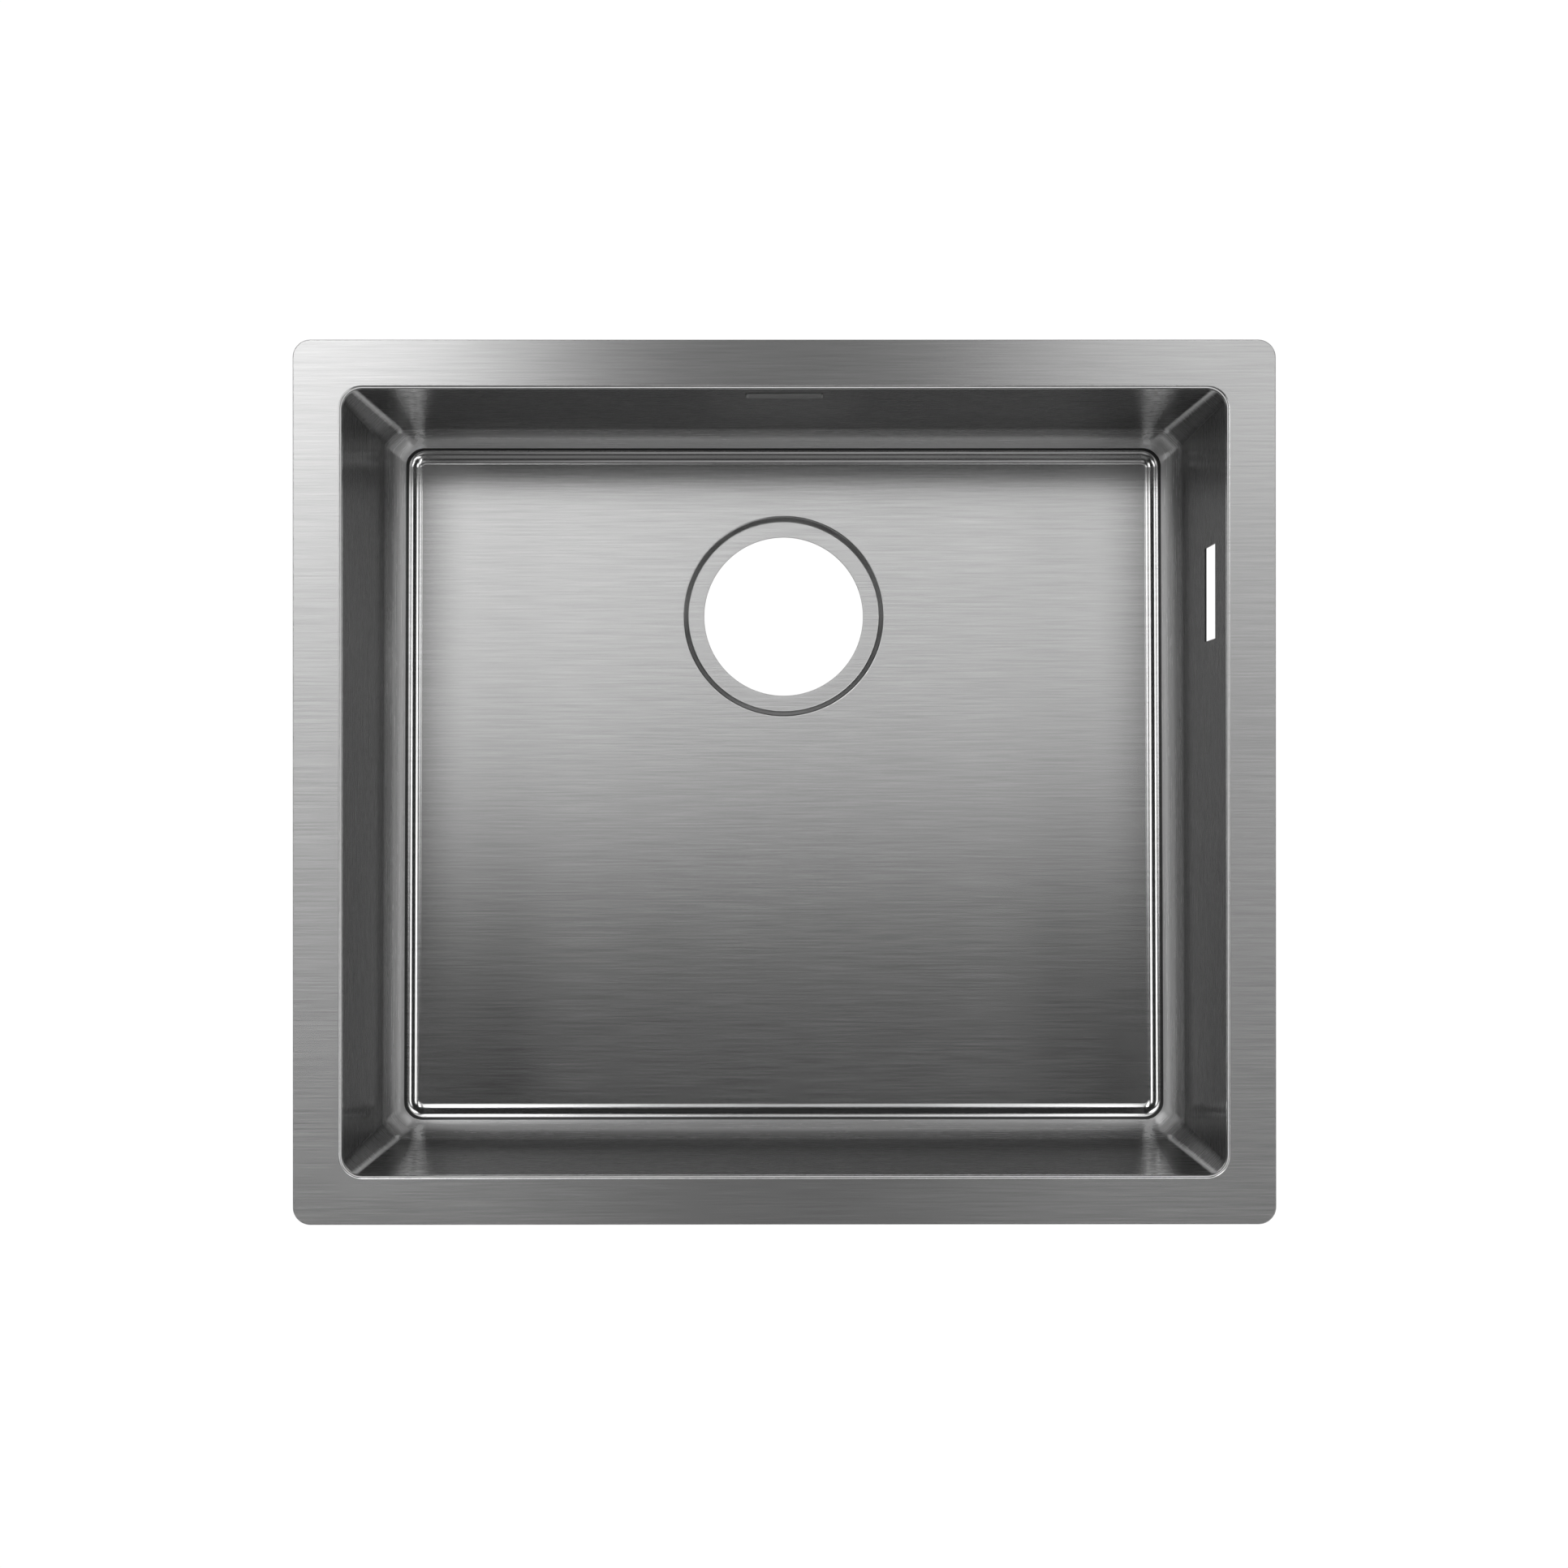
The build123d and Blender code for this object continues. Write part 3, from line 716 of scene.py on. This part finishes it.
# the other CAD nodes by family: a word put before the piece's name, and its rounded edges' width in millimetres
families = {
    "tab": {"word": "clamp", "slot": "tab_steel", "material": zincPlate, "edge": 0.35},
    "washer": {"word": "flat", "slot": "washer_steel", "material": zincPlate, "edge": 0.12},
    "wing_nut": {"word": "cast", "slot": "nut_steel", "material": castZinc, "edge": 0.4},
    "pad": {"word": "butyl", "slot": "sound_pad", "material": rubber, "edge": 0.8},
}
plate = {"slot": "badge_steel", "material": badgeSteel, "edge": 0.12}
# weld distance in metres, and angles in degrees: flatter faces are joined, sharper edges are rounded
clean = {"weld": 1e-6, "flatWithin": 1.0, "sharpFrom": 35.0, "segments": 2}


def softened(node, name, body, look):
    # a welded copy of a CAD node with its flat faces joined and its sharp edges rounded
    work = bmesh.new()
    work.from_mesh(nodes[node].data)
    bmesh.ops.remove_doubles(work, verts=work.verts, dist=clean["weld"])
    bmesh.ops.dissolve_limit(work, angle_limit=radians(clean["flatWithin"]), verts=work.verts, edges=work.edges)
    bmesh.ops.recalc_face_normals(work, faces=work.faces)
    mesh = bpy.data.meshes.new(name)
    work.to_mesh(mesh)
    work.free()
    mesh.materials.clear()
    mesh.materials.append(look["material"])
    mesh.polygons.foreach_set("use_smooth", np.ones(len(mesh.polygons), dtype=bool))
    piece = bpy.data.objects.new(name, mesh)
    bpy.context.scene.collection.objects.link(piece)
    soften = piece.modifiers.new("softEdges", "BEVEL")
    soften.width = look["edge"] * mm
    soften.segments = clean["segments"]
    soften.limit_method = "ANGLE"
    soften.angle_limit = radians(clean["sharpFrom"])
    soften.harden_normals = True
    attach(piece, body)
    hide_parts(node)


for node in sorted(nodes):
    for family, look in families.items():
        if node.startswith(family + "_"):
            softened(node, look["word"] + node.title().replace("_", ""), "root" if family == "pad" else node, look)
softened("badge_plate", "barePlate", "root", plate)
print("hardware, pads and plate")

# white stage: as bright as the photo's background to the camera, and dim in reflections
stage = {"reach": 30.0, "white": 1.02, "bounce": 0.25}
floorMesh = bpy.data.meshes.new("paleFloor")
reach = stage["reach"]
floorCorners = [(-reach, -reach, 0), (reach, -reach, 0), (reach, reach, 0), (-reach, reach, 0)]
floorMesh.from_pydata(floorCorners, [], [(0, 1, 2, 3)])
paleFloor = bpy.data.objects.new("paleFloor", floorMesh)
bpy.context.scene.collection.objects.link(paleFloor)
floorMaterial = bpy.data.materials.new("paleFloor")
floorMaterial.use_nodes = True
floorTree = floorMaterial.node_tree
floorTree.nodes.clear()
glow = addNode(floorTree, "ShaderNodeEmission")
seen = addNode(floorTree, "ShaderNodeLightPath").outputs["Is Camera Ray"]
floorTree.links.new(rampIn(floorTree, seen, 0.0, 1.0, stage["bounce"], stage["white"]), glow.inputs["Strength"])
floorOut = addNode(floorTree, "ShaderNodeOutputMaterial")
floorTree.links.new(glow.outputs[0], floorOut.inputs[0])
floorMesh.materials.append(floorMaterial)

# soft boxes overhead: middle and half size as slopes from straight up, softness and strength
softBoxes = {
    "rearLeft": {"middle": (-0.17, 0.34), "half": (0.075, 0.12), "soft": (0.03, 0.06), "strength": 4.9},
    "rearLeftLow": {"middle": (-0.15, 0.14), "half": (0.09, 0.09), "soft": (0.03, 0.05), "strength": 1.6},
    "rearRight": {"middle": (0.17, 0.34), "half": (0.075, 0.12), "soft": (0.03, 0.06), "strength": 2.5},
    "rearRightLow": {"middle": (0.15, 0.14), "half": (0.09, 0.09), "soft": (0.03, 0.05), "strength": 1.15},
    "rearWash": {"middle": (0.0, 0.22), "half": (0.08, 0.16), "soft": (0.04, 0.08), "strength": 0.40},
    "frontWash": {"middle": (0.03, -0.22), "half": (0.12, 0.12), "soft": (0.05, 0.06), "strength": 0.34},
    "frontRight": {"middle": (0.30, -0.35), "half": (0.08, 0.25), "soft": (0.04, 0.1), "strength": 2.3},
    "frontLeft": {"middle": (-0.30, -0.35), "half": (0.08, 0.25), "soft": (0.04, 0.1), "strength": 0.05},
    "leftStrip": {"middle": (-0.50, 0.02), "half": (0.10, 0.2), "soft": (0.05, 0.1), "strength": 2.2},
    "rightStrip": {"middle": (0.50, 0.02), "half": (0.10, 0.2), "soft": (0.05, 0.1), "strength": 2.0},
    "frontHigh": {"middle": (0.0, -1.0), "half": (0.6, 0.4), "soft": (0.2, 0.2), "strength": 0.15},
}
ambient = {"top": 0.01, "horizon": 0.03, "rimGlow": 0.85, "rimFrom": 0.62, "rimFull": 0.45, "lowest": 0.02}


def makeWorld():
    # light by slope from straight up: each soft box adds its strength times a smooth mask in X and in Y, and a faint
    # sky and a glow low down are added to them; the camera sees a plain pale backdrop instead
    world = bpy.data.worlds.new("studio")
    bpy.context.scene.world = world
    world.use_nodes = True
    tree = world.node_tree
    tree.nodes.clear()
    coord = addNode(tree, "ShaderNodeTexCoord")
    split = addNode(tree, "ShaderNodeSeparateXYZ")
    tree.links.new(coord.outputs["Generated"], split.inputs[0])

    height = mathIn(tree, "MAXIMUM", split.outputs["Z"], ambient["lowest"])
    slopes = [mathIn(tree, "DIVIDE", split.outputs[axis], height) for axis in ("X", "Y")]
    total = None
    for box in softBoxes.values():
        mask = None
        for slope, middle, half, soft in zip(slopes, box["middle"], box["half"], box["soft"]):
            distance = mathIn(tree, "ABSOLUTE", mathIn(tree, "SUBTRACT", slope, middle))
            inside = easeIn(tree, distance, half - soft, half + soft, 1.0, 0.0)
            mask = inside if mask is None else mathIn(tree, "MULTIPLY", mask, inside)
        lit = mathIn(tree, "MULTIPLY", mask, box["strength"])
        total = lit if total is None else mathIn(tree, "ADD", total, lit)
    above = mathIn(tree, "MULTIPLY", mathIn(tree, "POWER", height, 2.0), ambient["top"] - ambient["horizon"])
    total = mathIn(tree, "ADD", total, mathIn(tree, "ADD", above, ambient["horizon"]))
    glow = easeIn(tree, split.outputs["Z"], ambient["rimFull"], ambient["rimFrom"], ambient["rimGlow"], 0.0)
    total = mathIn(tree, "ADD", total, glow)
    light = addNode(tree, "ShaderNodeBackground")
    tree.links.new(total, light.inputs["Strength"])
    backdrop = addNode(tree, "ShaderNodeBackground")
    backdrop.inputs["Strength"].default_value = stage["white"]
    path = addNode(tree, "ShaderNodeLightPath")
    mix = addNode(tree, "ShaderNodeMixShader")
    tree.links.new(path.outputs["Is Camera Ray"], mix.inputs[0])
    tree.links.new(light.outputs[0], mix.inputs[1])
    tree.links.new(backdrop.outputs[0], mix.inputs[2])
    end = addNode(tree, "ShaderNodeOutputWorld")
    tree.links.new(mix.outputs[0], end.inputs[0])


makeWorld()
bpy.context.scene.view_settings.view_transform = "Standard"

photoCamera = {"place": (-4.31, -4.38, 1686.9), "turn": (0.114, -0.137, -0.025), "lens": 76.18}
cameraData = bpy.data.cameras.new("photoCamera")
cameraData.lens = photoCamera["lens"]
cameraData.sensor_width = 36.0
camera = bpy.data.objects.new("photoCamera", cameraData)
x, y, rise = photoCamera["place"]
camera.location = (x * mm, y * mm, (flangeTopZ + rise) * mm)
camera.rotation_euler = [radians(a) for a in photoCamera["turn"]]
bpy.context.scene.collection.objects.link(camera)
bpy.context.scene.camera = camera
print("stage, light and camera")
